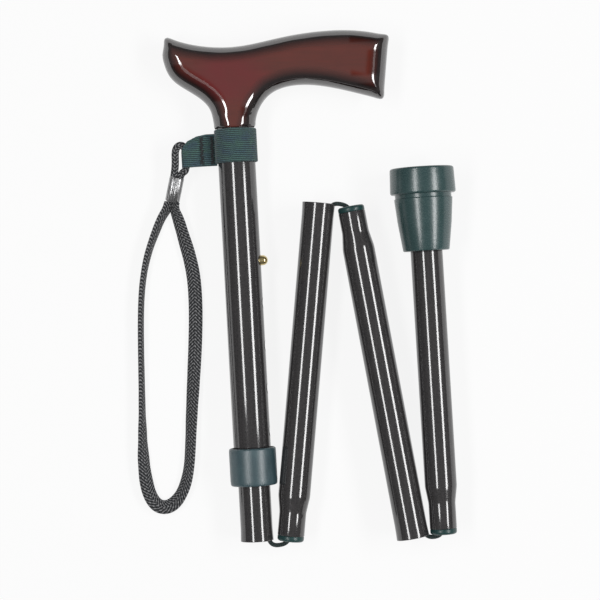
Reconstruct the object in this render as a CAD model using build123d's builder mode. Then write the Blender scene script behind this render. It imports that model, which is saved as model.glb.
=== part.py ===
from build123d import *
import math
import os

# Folding cane, lying folded on a flat surface.
# Sizes are in millimetres: X to the right, Y towards the handle, Z up.
# The origin is on that surface, under the middle of the folded bundle.

# Tubes
upper_diameter = 22.2
upper_wall = 1.25
upper_length = 228.0
lower_diameter = 19.0
lower_wall = 1.25
inner_length = 197.0
section_length = 203.0
last_section_length = 217.5
mouth_flare = 0.3
mouth_length = 8.0
spigot_clearance = 0.25
spigot_length = 21.0
shoulder_length = 9.0
bend_radius = 14.0
flare_bend_radius = 30.0

# Handle, with its outline's heights above the foot of its neck
handle_thickness = 24.4
handle_edge_radius = 7.0
handle_corner_radius = 3.0
neck_diameter = 25.0
neck_foot = 246.5
neck_round_height = 2.5
tube_seat_depth = 24.0
nose_reach = 40.7
nose_height = 43.3
nose_tip = (-38.0, 57.0)
saddle = [(-11.7, 49.4), (1.1, 48.7), (30.0, 52.6), (57.8, 55.0)]
arm_end_top = (94.1, 49.6)
arm_end_foot = (89.1, 12.1)
arm_underside = [(56.0, 21.8), (36.0, 23.7), (21.0, 18.6), (14.3, 9.7)]
nose_underside = [(-14.8, 13.3), (-27.9, 24.8), (-38.0, 34.5)]
neck_flare = (17.0, 10.5)

# Snap button and the row of adjustment holes
hole_pitch = 25.4
hole_count = 5
button_diameter = 6.0
button_hole_clearance = 0.3
button_stand_out = 1.2
leaf_thickness = 0.6
leaf_width = 5.0
leaf_wall_gap = 0.5
leaf_foot = 15.0
leaf_rise = 22.0
leaf_bush_gap = 2.4
leaf_crown_half = 3.2
leaf_crown_radius = 2.4
leaf_side_radius = 8.0

# Guide bush on the inner tube's upper end
bush_flange_length = 5.0
bush_plug_length = 5.0
bush_running_clearance = 0.1
bush_bore = 6.0

# Lock collar, wedge ring and collet bush
collar_diameter = 28.0
collar_height = 22.3
collar_overhang = 8.2
collar_lip = 3.2
collar_edge_radius = 1.2
collet_radial = 1.5
collet_rise = 2.6
collet_throat_height = 4.4
collet_top_margin = 2.0
collet_taper = 1.2
collet_slots = 4
collet_slot_width = 1.2
thread_clearance = 0.1
wedge_gap = 0.05

# Clearances between pieces
bond_gap = 0.03
slide_clearance = 0.3

# Plugs in the spigots
plug_rim_length = 4.0
plug_rim_round = 1.2
plug_rim_inset = 0.1
plug_body_length = 12.0
cord_hole_clearance = 0.5
funnel_radius = 4.7
funnel_depth = 3.0

# Elastic cord
shock_diameter = 3.2
bend_edge_gap = 0.3
bend_level = 2.7
bend_beyond_plug = 1.5
cord_bend_radius = 3.3
cord_sway_radius = 12.0
cord_leave = 52.0
cord_lean_start = 44.0
cord_lean_end = 29.0
cord_entry = 20.0
knot_diameter = 7.2
anchor_length = 8.0
anchor_height = 112.0
end_anchor_gap = 7.4
knot_lap = 1.0

# Folds of the bundle: each section's heading from its spigot to its far end
heading_2 = 7.9
heading_3 = 172.4
heading_4 = -0.4
fold_gap = 1.5
plug_gap = 1.5
fold_clearance_1 = 1.6
fold_clearance_2 = 0.3
fold_clearance_3 = 0.3

# Rubber tip
tip_length = 49.4
tip_base_diameter = 39.0
tip_tread_diameter = 37.8
tip_base_height = 15.6
tip_neck_diameter = 33.4
tip_neck_height = 2.6
tip_skirt_diameter = 34.2
tip_mouth_diameter = 26.8
tip_floor = 8.0
tip_edge_radius = 1.0
tread_groove_radii = [5.0, 9.0, 13.0]
tread_groove_width = 1.6
tread_groove_depth = 1.4
washer_thickness = 1.5
washer_clearance = 0.3
washer_hole = 5.0

# Strap band
band_gap = 0.2
band_thickness = 1.3
band_height = 19.8
band_top_gap = 0.3
tab_reach = 30.0
tab_drop = 1.2
tab_height = 19.0
tab_shoulder = 9.0
tab_slope = 5.0
tunnel_top_drop = 8.5
tunnel_clearance = 0.4

# Wrist cord and its crimp
wrist_diameter = 3.8
crimp_width = 8.0
crimp_depth = 8.6
crimp_length = 15.1
crimp_flutes = 14
flute_radius = 0.5
crimp_foot = (-81.8, 53.1, 6.6)
crimp_head = (-78.7, 67.8, 9.4)
strand_spacing = 3.9
strand_lead = 4.0

# Where the bundle lies: the open end of the top section, and its lean from the Y axis
mouth_x = -30.7
mouth_y = -150.3
bundle_lean = 3.1

# Sizes that follow from those above
upper_radius = upper_diameter / 2
upper_bore = upper_radius - upper_wall
tube_top = neck_foot + tube_seat_depth
tube_foot = tube_top - upper_length
collar_foot = tube_foot - collar_overhang
lower_radius = lower_diameter / 2
lower_bore = lower_radius - lower_wall
mouth_radius = lower_radius + mouth_flare
mouth_bore = lower_bore + mouth_flare
spigot_radius = lower_bore - spigot_clearance
spigot_bore = spigot_radius - lower_wall
collar_radius = collar_diameter / 2
shock_radius = shock_diameter / 2
cord_hole = shock_radius + cord_hole_clearance
button_radius = button_diameter / 2
button_hole = button_radius + button_hole_clearance
leaf_top = inner_length - bush_plug_length - leaf_bush_gap
button_height = leaf_top - leaf_rise
knot_radius = knot_diameter / 2
wrist_radius = wrist_diameter / 2


def direction(heading):
    """The unit vector of a heading in the bundle, 0 towards the handle and 90 to the right."""
    angle = math.radians(heading)
    return Vector(math.sin(angle), math.cos(angle))


def right_side(heading):
    """The unit vector square to a heading, on the bundle's right."""
    across = Vector(direction(heading).Y, -direction(heading).X)
    return across if across.X > 0 else across * -1


def next_spigot(mouth, heading, next_heading, reach):
    """The place of a spigot's end beside the mouth that it folds out of."""
    pivot = mouth + direction(heading) * fold_gap + right_side(heading) * reach
    foot = pivot + right_side(next_heading) * reach
    return foot + direction(next_heading) * plug_gap


def fold_reach(clearance):
    """The distance from a fold's pivot to both tube axes."""
    return (mouth_radius + spigot_radius + clearance) / 2


# The folded bundle laid out flat, from the open end of the top section
mouth_1 = Vector(0, 0)
spigot_2 = next_spigot(mouth_1, 180, heading_2, fold_reach(fold_clearance_1))
mouth_2 = spigot_2 + direction(heading_2) * section_length
spigot_3 = next_spigot(mouth_2, heading_2, heading_3, fold_reach(fold_clearance_2))
mouth_3 = spigot_3 + direction(heading_3) * section_length
spigot_4 = next_spigot(mouth_3, heading_3, heading_4, fold_reach(fold_clearance_3))
tread = spigot_4 + direction(heading_4) * last_section_length

# The bundle rests on the collar, the handle and the wider rubber tip, so it rolls a little
tip_centre = tread - direction(heading_4) * tip_base_height
bundle_roll = math.asin((tip_base_diameter - collar_diameter) / 2 / tip_centre.X)
lean = math.radians(bundle_lean)
across = Vector(
    math.cos(lean) * math.cos(bundle_roll),
    math.sin(lean) * math.cos(bundle_roll),
    math.sin(bundle_roll),
)
along = Vector(-math.sin(lean), math.cos(lean), 0)
bundle = Plane(
    origin=(mouth_x, mouth_y, collar_radius),
    x_dir=across,
    z_dir=across.cross(along),
)


def section_plane(point, heading):
    """A plane in the bundle with its Y axis along a heading and its origin at a point."""
    square = Vector(direction(heading).Y, -direction(heading).X)
    return Plane(
        origin=bundle.from_local_coords(point),
        x_dir=bundle.x_dir * square.X + bundle.y_dir * square.Y,
        z_dir=bundle.z_dir,
    )


top_plane = section_plane(mouth_1, 0)
plane_2 = section_plane(spigot_2, heading_2)
plane_3 = section_plane(spigot_3, heading_3)
plane_4 = section_plane(spigot_4, heading_4)
tip_plane = section_plane(tread, heading_4 + 180)
neck_plane = section_plane(Vector(0, neck_foot), 0)


def axis_of(plane):
    """The long axis of a tube whose profile is drawn on a plane."""
    return Axis(plane.origin, plane.y_dir)


def turned_ring(plane, inner, outer, low, high, edge=0.0):
    """A plain ring about a tube's axis, its outer edges rounded."""
    with BuildPart() as ring:
        with BuildSketch(plane) as profile:
            with Locations(((inner + outer) / 2, (low + high) / 2)):
                Rectangle(outer - inner, high - low)
            if edge > 0:
                fillet(profile.vertices().group_by(Axis.X)[-1], edge)
        revolve(axis=axis_of(plane))
    return ring.part


def finish(part, label):
    """Name a piece and write it."""
    part.label = label
    export_step(part, f"parts/{label}.step")


def tube_between(plane, outer_run, inner_run, radii):
    """A tube turned from an outer and an inner run of points, with softened bends."""
    with BuildPart() as tube:
        with BuildSketch(plane):
            with BuildLine():
                outer = FilletPolyline(*outer_run, radius=radii)
                inner = FilletPolyline(*inner_run, radius=radii)
                Line(outer @ 0, inner @ 0)
                Line(outer @ 1, inner @ 1)
            make_face()
        revolve(axis=axis_of(plane))
    return tube.part


def lower_tube(plane, length, flared):
    """A lower section's tube: swaged to a spigot at its start, flared to a mouth at its end."""
    shoulder = spigot_length + shoulder_length
    outer_run = [
        (spigot_radius, plug_rim_length),
        (spigot_radius, spigot_length),
        (lower_radius, shoulder),
    ]
    inner_run = [
        (spigot_bore, plug_rim_length),
        (spigot_bore, spigot_length),
        (lower_bore, shoulder),
    ]
    radii = [bend_radius, bend_radius]
    if flared:
        outer_run += [(lower_radius, length - mouth_length), (mouth_radius, length)]
        inner_run += [(lower_bore, length - mouth_length), (mouth_bore, length)]
        radii += [flare_bend_radius]
    else:
        outer_run += [(lower_radius, length)]
        inner_run += [(lower_bore, length)]
    return tube_between(plane, outer_run, inner_run, radii)


def spigot_plug(plane):
    """The plastic plug in a spigot's end, with a funnel mouth for the cord."""
    rim = spigot_radius - plug_rim_inset
    body = spigot_bore - bond_gap
    body_end = plug_rim_length + plug_body_length
    with BuildPart() as plug:
        with BuildSketch(plane):
            with BuildLine():
                Polyline(
                    (funnel_radius, 0),
                    (rim - plug_rim_round, 0),
                )
                RadiusArc(
                    (rim - plug_rim_round, 0),
                    (rim, plug_rim_round),
                    -plug_rim_round,
                )
                Polyline(
                    (rim, plug_rim_round),
                    (rim, plug_rim_length),
                    (body, plug_rim_length),
                    (body, body_end),
                    (cord_hole, body_end),
                    (cord_hole, funnel_depth),
                    (funnel_radius, 0),
                )
            make_face()
        revolve(axis=axis_of(plane))
    return plug.part


def round_cord(points, radii, radius):
    """A round cord along straight runs joined by tangent arcs."""
    with BuildPart() as cord:
        with BuildLine() as route:
            if len(points) > 2:
                FilletPolyline(*points, radius=radii)
            else:
                Line(*points)
        start = route.wire() @ 0
        heading = route.wire() % 0
        with BuildSketch(Plane(origin=start, z_dir=heading)):
            Circle(radius)
        sweep(path=route.wire())
    return cord.part


def arc_radii(points, largest=1000.0):
    """The largest radii that each corner's two runs allow."""
    found = []
    for before, corner, after in zip(points, points[1:], points[2:]):
        first = Vector(corner) - Vector(before)
        second = Vector(after) - Vector(corner)
        turn = math.radians(first.get_angle(second))
        shorter = min(first.length, second.length)
        found.append(min(largest, 0.45 * shorter / math.tan(turn / 2)))
    return found


def fold_cord(mouth, heading, spigot, next_heading):
    """The elastic cord from inside one mouth, round the fold, into the next spigot's plug."""
    out = direction(heading)
    side = right_side(heading)
    hug = lower_bore - shock_radius - bend_edge_gap
    points = [
        mouth - out * cord_leave,
        mouth - out * cord_lean_start,
        mouth - out * cord_lean_end + side * hug,
        mouth + out * bend_level + side * hug,
        spigot - direction(next_heading) * bend_beyond_plug,
        spigot + direction(next_heading) * cord_entry,
    ]
    radii = [cord_sway_radius, cord_sway_radius, cord_bend_radius, cord_bend_radius]
    route = [bundle.from_local_coords(point) for point in points]
    return round_cord(route, radii, shock_radius)


def straight_cord(plane, low, high, knot_at=None):
    """A straight stretch of the elastic cord, with a knot at one end where it is anchored."""
    with BuildPart() as cord:
        with BuildSketch(plane):
            with Locations((shock_radius / 2, (low + high) / 2)):
                Rectangle(shock_radius, high - low)
            if knot_at is not None:
                with BuildLine():
                    CenterArc((0, knot_at), knot_radius, -90, 180)
                    Line((0, knot_at + knot_radius), (0, knot_at - knot_radius))
                make_face()
        revolve(axis=axis_of(plane))
    return cord.part


os.makedirs("parts", exist_ok=True)

# Handle: a derby outline through its thickness, its faces' edges rolled over,
# and its neck turned round where it meets the tube
half_thickness = handle_thickness / 2
neck_radius = neck_diameter / 2


def on_handle_face(edge):
    """Whether an edge bounds one of the handle's two flat faces, clear of the neck's foot."""
    place = edge.center()
    return abs(abs(place.Z) - half_thickness) < 0.01 and place.Y > 0.5


flare_side = arm_end_top[0] + nose_reach
flare_top = nose_tip[1] + handle_thickness
with BuildPart() as handle:
    with BuildSketch() as outline:
        with BuildLine():
            Spline(nose_tip, *saddle, arm_end_top)
            Line(arm_end_top, arm_end_foot)
            Spline(
                arm_end_foot,
                *arm_underside,
                (neck_radius, 0),
                tangents=[(-1, 0.3), (0, -1)],
            )
            Line((neck_radius, 0), (-neck_radius, 0))
            Spline(
                (-neck_radius, 0),
                *nose_underside,
                (-nose_reach, nose_height),
                nose_tip,
                tangents=[(0, 1), (0.3, 1)],
            )
        make_face()
        corners = outline.vertices().filter_by(lambda corner: corner.Y > neck_round_height)
        fillet(corners, handle_corner_radius)
    extrude(amount=half_thickness, both=True)
    fillet(handle.edges().filter_by(on_handle_face), radius=handle_edge_radius)
    with BuildSketch():
        with BuildLine():
            Polyline((0, flare_top), (0, 0), (neck_radius, 0), (neck_radius, neck_round_height))
            Spline((neck_radius, neck_round_height), neck_flare, tangents=[(0, 1), (1, 0.8)])
            Polyline(
                neck_flare,
                (flare_side, neck_flare[1]),
                (flare_side, flare_top),
                (0, flare_top),
            )
        make_face()
    revolve(axis=Axis.Y, mode=Mode.INTERSECT)
    with BuildSketch():
        with Locations(((upper_radius + bond_gap) / 2, tube_seat_depth / 2)):
            Rectangle(upper_radius + bond_gap, tube_seat_depth)
    revolve(axis=Axis.Y, mode=Mode.SUBTRACT)
finish(handle.part.moved(neck_plane.location), "handle")

# Upper tube with its row of adjustment holes
button_plane = Plane(
    origin=bundle.from_local_coords((0, button_height, 0)),
    x_dir=bundle.y_dir,
    z_dir=bundle.x_dir,
)
with BuildPart() as upper_tube:
    with BuildSketch(top_plane):
        with Locations((upper_radius - upper_wall / 2, tube_foot + upper_length / 2)):
            Rectangle(upper_wall, upper_length)
    revolve(axis=axis_of(top_plane))
    with BuildSketch(button_plane):
        with Locations(*[(-hole_pitch * step, 0) for step in range(hole_count)]):
            Circle(button_hole)
    extrude(amount=upper_radius + 1, mode=Mode.SUBTRACT)
finish(upper_tube.part, "upper_tube")

# Inner tube: plain at its upper end, flared to a mouth below, with one button hole
with BuildPart() as inner_tube:
    add(
        tube_between(
            top_plane,
            [(mouth_radius, 0), (lower_radius, mouth_length), (lower_radius, inner_length)],
            [(mouth_bore, 0), (lower_bore, mouth_length), (lower_bore, inner_length)],
            [flare_bend_radius],
        )
    )
    with BuildSketch(button_plane):
        Circle(button_hole)
    extrude(amount=lower_radius + 1, mode=Mode.SUBTRACT)
finish(inner_tube.part, "inner_tube")

# Guide bush in the inner tube's upper end, running in the upper tube
with BuildPart() as guide_bush:
    with BuildSketch(top_plane):
        with BuildLine():
            Polyline(
                (bush_bore / 2, inner_length - bush_plug_length),
                (lower_bore - bond_gap, inner_length - bush_plug_length),
                (lower_bore - bond_gap, inner_length),
                (upper_bore - bush_running_clearance, inner_length),
                (upper_bore - bush_running_clearance, inner_length + bush_flange_length),
                (bush_bore / 2, inner_length + bush_flange_length),
                close=True,
            )
        make_face()
    revolve(axis=axis_of(top_plane))
finish(guide_bush.part, "guide_bush")

# Button spring: a leaf bent to a hairpin whose legs lie on the inner tube's wall
leaf_line = lower_bore - leaf_wall_gap - leaf_thickness / 2
with BuildPart() as button_spring:
    with BuildSketch(top_plane):
        with BuildLine():
            FilletPolyline(
                (leaf_line, button_height - leaf_foot),
                (leaf_line, button_height + button_radius),
                (leaf_crown_half, leaf_top),
                (-leaf_crown_half, leaf_top),
                (-leaf_line, button_height + button_radius),
                (-leaf_line, button_height - leaf_foot),
                radius=[leaf_side_radius, leaf_crown_radius, leaf_crown_radius, leaf_side_radius],
            )
            offset(amount=leaf_thickness / 2, side=Side.BOTH)
        make_face()
    extrude(amount=leaf_width / 2, both=True)
finish(button_spring.part, "button_spring")

# Snap button: a round-headed pin that stands on the leaf and out through both tubes
button_back = leaf_line + leaf_thickness / 2
button_centre = upper_radius + button_stand_out
with BuildPart() as snap_button:
    with BuildSketch(Plane(origin=button_plane.origin, x_dir=bundle.y_dir, z_dir=bundle.z_dir * -1)):
        with BuildLine():
            Polyline(
                (button_radius, button_centre),
                (button_radius, button_back),
                (0, button_back),
                (0, button_centre + button_radius),
            )
            RadiusArc((0, button_centre + button_radius), (button_radius, button_centre), button_radius)
        make_face()
    revolve(axis=Axis(button_plane.origin, bundle.x_dir))
finish(snap_button.part, "snap_button")

# Collet bush: a threaded sleeve bonded on the upper tube's foot, with sprung fingers below it
collet_foot = collar_foot + collar_lip + collet_rise
collet_top = collar_foot + collar_height - collet_top_margin
collet_radius = upper_radius + collet_radial
collet_throat = lower_radius + slide_clearance
with BuildPart() as collet_bush:
    with BuildSketch(top_plane):
        with BuildLine():
            Polyline(
                (collet_throat, collet_foot),
                (collet_radius - collet_taper, collet_foot),
                (collet_radius, collet_foot + collet_taper),
                (collet_radius, collet_top),
                (upper_radius + bond_gap, collet_top),
                (upper_radius + bond_gap, tube_foot),
                (collet_throat, tube_foot),
                close=True,
            )
        make_face()
    revolve(axis=axis_of(top_plane))
    with BuildSketch(Plane(origin=top_plane.from_local_coords((0, collet_foot, 0)), z_dir=top_plane.y_dir)):
        with PolarLocations(collet_radius, collet_slots):
            Rectangle(collet_radius, collet_slot_width)
    extrude(amount=tube_foot - collet_foot - collet_slot_width, mode=Mode.SUBTRACT)
finish(collet_bush.part, "collet_bush")

# Wedge ring, which the collar pushes against the collet's fingers
wedge_foot = collar_foot + collar_lip + wedge_gap
wedge_ring = turned_ring(
    top_plane,
    lower_radius + slide_clearance,
    collet_radius - thread_clearance,
    wedge_foot,
    collet_foot - wedge_gap,
)
finish(wedge_ring, "wedge_ring")

# Lock collar
with BuildPart() as lock_collar:
    with BuildSketch(top_plane) as profile:
        with BuildLine():
            Polyline(
                (lower_radius + slide_clearance, collar_foot),
                (collar_radius, collar_foot),
                (collar_radius, collar_foot + collar_height),
                (collet_radius + thread_clearance, collar_foot + collar_height),
                (collet_radius + thread_clearance, collar_foot + collar_lip),
                (lower_radius + slide_clearance, collar_foot + collar_lip),
                close=True,
            )
        make_face()
        fillet(profile.vertices().group_by(Axis.X)[-1], collar_edge_radius)
    revolve(axis=axis_of(top_plane))
finish(lock_collar.part, "lock_collar")

# Lower sections, each with its spigot's plug
for number, plane in [(2, plane_2), (3, plane_3)]:
    finish(lower_tube(plane, section_length, True), f"section_{number}_tube")
tube_4_end = last_section_length - tip_floor - washer_thickness
finish(lower_tube(plane_4, tube_4_end, False), "section_4_tube")
for number, plane in [(2, plane_2), (3, plane_3), (4, plane_4)]:
    finish(spigot_plug(plane), f"spigot_plug_{number}")

def on_rubber_rim(corner):
    """Whether a corner of the rubber tip's profile lies on its tread, base or mouth edge."""
    rims = (tip_tread_diameter, tip_base_diameter, tip_mouth_diameter)
    return any(abs(corner.X - diameter / 2) < 0.01 for diameter in rims)


# Rubber tip with rings cut in its tread
with BuildPart() as rubber_tip:
    with BuildSketch(tip_plane) as profile:
        with BuildLine():
            Polyline(
                (0, 0),
                (tip_tread_diameter / 2, 0),
                (tip_base_diameter / 2, tip_base_height),
                (tip_neck_diameter / 2, tip_base_height),
                (tip_neck_diameter / 2, tip_base_height + tip_neck_height),
                (tip_skirt_diameter / 2, tip_base_height + tip_neck_height),
                (tip_mouth_diameter / 2, tip_length),
                (lower_radius + bond_gap, tip_length),
                (lower_radius + bond_gap, tip_floor),
                (0, tip_floor),
                close=True,
            )
        make_face()
        fillet(profile.vertices().filter_by(on_rubber_rim), tip_edge_radius)
    revolve(axis=axis_of(tip_plane))
    with BuildSketch(tip_plane):
        for groove in tread_groove_radii:
            with Locations((groove, tread_groove_depth / 2)):
                Rectangle(tread_groove_width, tread_groove_depth)
    revolve(axis=axis_of(tip_plane), mode=Mode.SUBTRACT)
finish(rubber_tip.part, "rubber_tip")

washer_radius = lower_radius - washer_clearance
tip_washer = turned_ring(
    tip_plane,
    washer_hole / 2,
    washer_radius,
    tip_floor,
    tip_floor + washer_thickness,
)
finish(tip_washer, "tip_washer")

# Cord anchors: one fast in the inner tube, one in the last section's far end
anchor_top = turned_ring(
    top_plane,
    cord_hole,
    lower_bore - bond_gap,
    anchor_height,
    anchor_height + anchor_length,
)
finish(anchor_top, "cord_anchor_top")
end_anchor_top = tube_4_end - end_anchor_gap
anchor_end = turned_ring(
    plane_4,
    cord_hole,
    lower_bore - bond_gap,
    end_anchor_top - anchor_length,
    end_anchor_top,
)
finish(anchor_end, "cord_anchor_end")

# Elastic cord: straight inside each section, and round each fold from mouth to plug
knot_rise = knot_radius - knot_lap / 2
top_knot = anchor_height + anchor_length + knot_rise
finish(straight_cord(top_plane, cord_leave, top_knot, top_knot), "shock_cord_1")
for number, plane in [(2, plane_2), (3, plane_3)]:
    finish(straight_cord(plane, cord_entry, section_length - cord_leave), f"shock_cord_{number}")
end_knot = end_anchor_top + knot_rise
finish(straight_cord(plane_4, cord_entry, end_knot, end_knot), "shock_cord_4")
finish(fold_cord(mouth_1, 180, spigot_2, heading_2), "fold_cord_1")
finish(fold_cord(mouth_2, heading_2, spigot_3, heading_3), "fold_cord_2")
finish(fold_cord(mouth_3, heading_3, spigot_4, heading_4), "fold_cord_3")

# Strap band: a ring round the tube below the neck, and a doubled tab with the cord's tunnel
band_inner = upper_radius + band_gap
band_outer = band_inner + band_thickness
band_top = neck_foot - band_top_gap
tab_foot = band_top - band_height - tab_drop
tab_top = tab_foot + tab_height
tunnel_bore = wrist_radius + tunnel_clearance
tunnel_radius = tunnel_bore + band_thickness
tunnel_top = tab_top - tunnel_top_drop
with BuildPart() as strap_band:
    with BuildSketch(top_plane):
        with Locations(((band_inner + band_outer) / 2, band_top - band_height / 2)):
            Rectangle(band_thickness, band_height)
    revolve(axis=axis_of(top_plane))
    with BuildSketch(top_plane):
        with BuildLine():
            Polyline(
                (-band_inner - band_thickness / 2, tab_foot),
                (-tab_reach, tab_foot),
                (-tab_reach, tunnel_top),
                (-tab_reach + tunnel_radius, tab_top - tab_slope),
                (-band_outer - tab_shoulder, tab_top),
                (-band_inner - band_thickness / 2, tab_top),
                close=True,
            )
        make_face()
    extrude(amount=band_thickness, both=True)
    with BuildSketch(Plane(origin=top_plane.from_local_coords((-tab_reach, tab_foot, 0)), z_dir=top_plane.y_dir)):
        Circle(tunnel_radius)
    extrude(amount=tunnel_top - tab_foot)
    with BuildSketch(Plane(origin=top_plane.from_local_coords((-tab_reach, tab_foot, 0)), z_dir=top_plane.y_dir)):
        Circle(tunnel_bore)
    extrude(amount=tab_height, mode=Mode.SUBTRACT)
finish(strap_band.part, "strap_band")

# Crimp: a fluted metal sleeve that holds four strands of the wrist cord
crimp_axis = (Vector(crimp_head) - Vector(crimp_foot)).normalized()
crimp_across = (bundle.x_dir - crimp_axis * bundle.x_dir.dot(crimp_axis)).normalized()
crimp_plane = Plane(origin=crimp_foot, x_dir=crimp_across, z_dir=crimp_axis)
with BuildPart() as cord_crimp:
    with BuildSketch(crimp_plane):
        Ellipse(crimp_width / 2, crimp_depth / 2)
        for step in range(crimp_flutes):
            angle = math.radians(360 / crimp_flutes * (step + 0.5))
            with Locations((crimp_width / 2 * math.cos(angle), crimp_depth / 2 * math.sin(angle))):
                Circle(flute_radius, mode=Mode.SUBTRACT)
    extrude(amount=crimp_length)
finish(cord_crimp.part, "cord_crimp")

# Wrist cord: out of the crimp, round its long loop on the ground, and back into the crimp
strand_left = crimp_plane.from_local_coords((-strand_spacing / 2, 0, -bond_gap))
strand_right = crimp_plane.from_local_coords((strand_spacing / 2, 0, -bond_gap))
wrist_points = [
    (-88.6, 43.0, 4.0),
    (-92.6, 33.0, 2.3),
    (-96.0, 23.5, 2.0),
    (-98.6, 12.5, 2.0),
    (-100.2, 0.0, 2.0),
    (-100.8, -15.0, 2.0),
    (-100.7, -35.0, 2.0),
    (-100.2, -57.0, 2.0),
    (-99.9, -78.0, 2.0),
    (-99.5, -97.0, 2.0),
    (-98.2, -112.0, 2.0),
    (-95.6, -123.0, 2.0),
    (-91.0, -129.6, 2.0),
    (-84.8, -130.6, 2.0),
    (-79.0, -126.6, 2.0),
    (-74.4, -118.4, 2.0),
    (-71.8, -107.0, 2.0),
    (-71.0, -93.0, 2.0),
    (-70.4, -75.0, 2.0),
    (-69.2, -53.0, 2.0),
    (-68.1, -30.0, 2.0),
    (-67.9, -9.0, 2.0),
    (-69.0, 7.5, 2.0),
    (-71.6, 20.0, 2.1),
    (-75.2, 32.0, 2.6),
    (-78.3, 42.6, 4.2),
]
wrist_route = [
    strand_left,
    strand_left - crimp_axis * strand_lead,
    *[Vector(point) for point in wrist_points],
    strand_right - crimp_axis * strand_lead,
    strand_right,
]
wrist_radii = arc_radii(wrist_route)
print("wrist cord radii", [round(radius, 1) for radius in wrist_radii])
finish(round_cord(wrist_route, wrist_radii, wrist_radius), "wrist_cord")

# Cord eye: the small loop from the crimp's head up through the tab's tunnel
tunnel_foot_place = top_plane.from_local_coords((-tab_reach, tab_foot, 0))
tunnel_top_place = top_plane.from_local_coords((-tab_reach, tunnel_top, 0))
eye_left = crimp_plane.from_local_coords((-strand_spacing / 2, 0, crimp_length + bond_gap))
eye_right = crimp_plane.from_local_coords((strand_spacing / 2, 0, crimp_length + bond_gap))
eye_route = [
    eye_right,
    eye_right + crimp_axis * 2.4,
    tunnel_foot_place - bundle.y_dir * 1.6,
    tunnel_top_place + bundle.y_dir * 3.2,
    tunnel_top_place + bundle.y_dir * 2.6 - bundle.x_dir * 6.5,
    eye_left + crimp_axis * 5.2,
    eye_left,
]
eye_radii = arc_radii(eye_route)
print("cord eye radii", [round(radius, 1) for radius in eye_radii])
finish(round_cord(eye_route, eye_radii, wrist_radius), "cord_eye")
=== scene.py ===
"""Looks of a folding cane: tubes, handle, tip, collar, strap and cords, with their finishes."""

import logging
import math
from collections.abc import Callable, Sequence
from dataclasses import dataclass, field
from enum import Enum

import bmesh
import bpy
from mathutils import Matrix, Vector
from mathutils.bvhtree import BVHTree

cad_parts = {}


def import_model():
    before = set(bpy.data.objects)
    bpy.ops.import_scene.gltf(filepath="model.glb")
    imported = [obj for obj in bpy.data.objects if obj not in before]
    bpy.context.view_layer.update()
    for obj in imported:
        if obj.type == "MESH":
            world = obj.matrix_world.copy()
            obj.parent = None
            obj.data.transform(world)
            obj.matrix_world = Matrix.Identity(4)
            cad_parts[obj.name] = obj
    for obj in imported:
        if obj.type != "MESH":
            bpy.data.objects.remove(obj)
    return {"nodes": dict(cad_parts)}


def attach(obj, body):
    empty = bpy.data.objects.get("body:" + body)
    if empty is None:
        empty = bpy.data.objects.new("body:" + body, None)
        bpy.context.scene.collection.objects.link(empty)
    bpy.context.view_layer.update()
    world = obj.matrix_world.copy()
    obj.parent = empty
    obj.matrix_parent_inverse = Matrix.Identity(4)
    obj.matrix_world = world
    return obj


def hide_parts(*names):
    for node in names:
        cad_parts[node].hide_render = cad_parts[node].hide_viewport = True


log = logging.getLogger("cane")

MM = 0.001
Number = float | int
Pair = tuple[float, float]
Triple = tuple[float, float, float]


# Where things lie


@dataclass(frozen=True)
class Bundle:
    """The folded bundle's own flat layout: u to the right, v towards the handle, both in mm.

    Its origin is the centre of the top section's open end.
    """

    mouth: Triple = (-30.7, -150.3, 14.0)
    lean: float = 3.1
    roll: float = 2.88168

    def axes(self) -> tuple[Vector, Vector, Vector]:
        """The directions of u, of v and of the bundle's upward normal."""
        lean, roll = math.radians(self.lean), math.radians(self.roll)
        across = Vector(
            (math.cos(lean) * math.cos(roll), math.sin(lean) * math.cos(roll), math.sin(roll))
        )
        along = Vector((-math.sin(lean), math.cos(lean), 0.0))
        return across, along, across.cross(along)

    def point(self, u: float, v: float, up: float = 0.0) -> Vector:
        """A place in the scene, in metres.

        Args:
            u: Millimetres to the right of the top section's axis.
            v: Millimetres from its open end towards the handle.
            up: Millimetres above the plane of the axes.

        Returns:
            The place in metres.
        """
        across, along, normal = self.axes()
        return (Vector(self.mouth) + across * u + along * v + normal * up) * MM

    def placing(self, u: float, v: float, heading: float = 0.0) -> Matrix:
        """The matrix that puts a piece drawn in mm, its long axis on Y, at a place and heading.

        Args:
            u: The place's u.
            v: The place's v.
            heading: Degrees from v, clockwise from above.

        Returns:
            A matrix from the piece's millimetres to the scene's metres.
        """
        across, along, normal = self.axes()
        turn = math.radians(heading)
        long_axis = across * math.sin(turn) + along * math.cos(turn)
        side = across * math.cos(turn) - along * math.sin(turn)
        frame_of = Matrix((side, long_axis, normal)).transposed().to_4x4()
        return Matrix.Translation(self.point(u, v)) @ frame_of @ Matrix.Scale(MM, 4)


class Place(Enum):
    """Where each section's own Y axis starts in the bundle: u, v and heading."""

    TOP = (0.0, 0.0, 0.0)
    SECOND = (19.5141, -1.3474, 7.9)
    THIRD = (65.7545, 199.678, 172.4)
    LAST = (110.8108, -0.2656, -0.4)
    TREAD = (109.2923, 217.2291, 179.6)
    NECK = (0.0, 246.5, 0.0)

    def matrix(self, bundle: Bundle) -> Matrix:
        """The matrix that puts a piece on this section."""
        return bundle.placing(*self.value)


# Shader writing


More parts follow.
